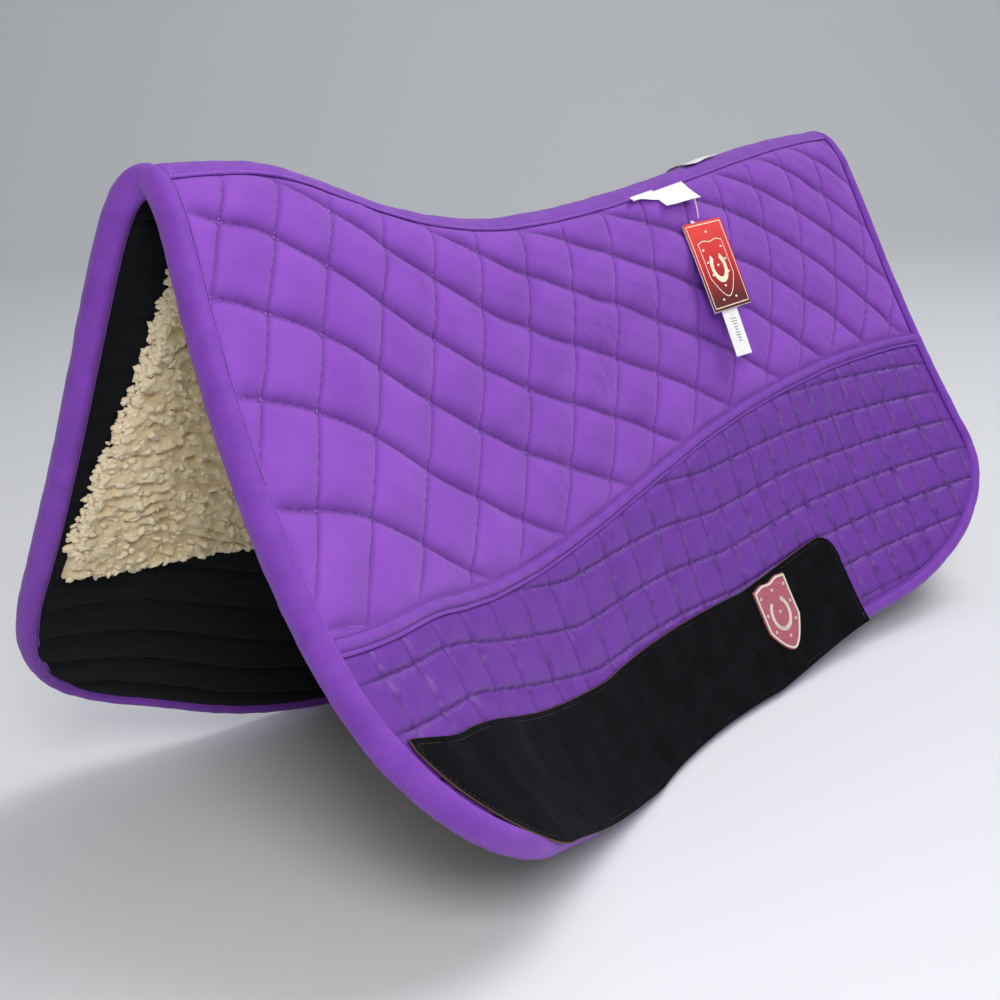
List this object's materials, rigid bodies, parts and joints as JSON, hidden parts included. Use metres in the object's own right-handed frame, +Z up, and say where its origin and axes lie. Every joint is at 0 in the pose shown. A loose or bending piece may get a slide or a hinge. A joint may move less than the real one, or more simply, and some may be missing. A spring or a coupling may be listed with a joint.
{
  "type": "saddle pad",
  "caption": "Contoured western saddle pad with quilted twill cover, satin skirt, bound edges, suede wear leathers, fleece inner panels and a hang tag.",
  "frame": {"origin": "under the middle of the pad, on the surface that the pad stands on", "axes": "+X towards the horse's head, +Y to the horse's left, +Z up"},
  "size_m": [0.7962, 0.3752, 0.4182],
  "materials": {
    "purple_twill": "quilted twill",
    "purple_satin": "box-quilted satin",
    "purple_tape": "ribbed binding tape",
    "felt_and_foam": "felt and foam",
    "black_lining": "quilted lining cloth",
    "cream_fleece": "deep fleece pile",
    "black_suede": "suede nap",
    "badge_rose": "stitched patch",
    "white_satin": "satin ribbon",
    "white_string": "twisted string",
    "printed_card": "printed card",
    "ticket_card": "white card"
  },
  "bodies": {
    "left_side": {"left_upper_cover": "purple_twill", "left_lower_skirt": "purple_satin", "left_piping_tape": "purple_tape", "left_foam_core": "felt_and_foam", "left_lining": "black_lining", "left_fleece_panel": "cream_fleece", "left_wear_leather": "black_suede", "left_badge": "badge_rose", "left_edge_binding": "purple_tape", "spine_tape": "purple_tape", "spine_padding": "felt_and_foam", "spine_lining": "black_lining", "front_arch_binding": "purple_tape", "rear_arch_binding": "purple_tape", "rear_label": "white_satin"},
    "right_side": {"right_upper_cover": "purple_twill", "right_lower_skirt": "purple_satin", "right_piping_tape": "purple_tape", "right_foam_core": "felt_and_foam", "right_lining": "black_lining", "right_fleece_panel": "cream_fleece", "right_wear_leather": "black_suede", "right_badge": "badge_rose", "right_edge_binding": "purple_tape"},
    "label_flap": {"front_label": "white_satin"},
    "string": {"tag_string": "white_string"},
    "tag": {"hang_tag": "printed_card", "price_ticket": "ticket_card"}
  },
  "joints": [
    {"name": "spine_fold", "type": "hinge", "parent": "left_side", "child": "right_side", "pos_m": [0, 0, 0.4], "axis": [-1, 0, 0], "range_deg": [-6, 50], "deforming": ["spine_tape", "spine_padding", "spine_lining", "front_arch_binding", "rear_arch_binding", "rear_label"]},
    {"name": "label_lift", "type": "hinge", "parent": "left_side", "child": "label_flap", "pos_m": [-0.10132, 0.0153, 0.36706], "axis": [0.9956, -0.001, -0.0933], "range_deg": [0, 60]},
    {"name": "string_swing", "type": "hinge", "parent": "label_flap", "child": "string", "pos_m": [-0.1203, 0.02921, 0.35733], "axis": [0.0573, 0.9139, 0.4019], "range_deg": [-20, 20]},
    {"name": "tag_lift", "type": "hinge", "parent": "string", "child": "tag", "pos_m": [-0.1254, 0.03119, 0.33958], "axis": [0.9984, -0.0534, -0.0209], "range_deg": [-5, 60]}
  ]
}
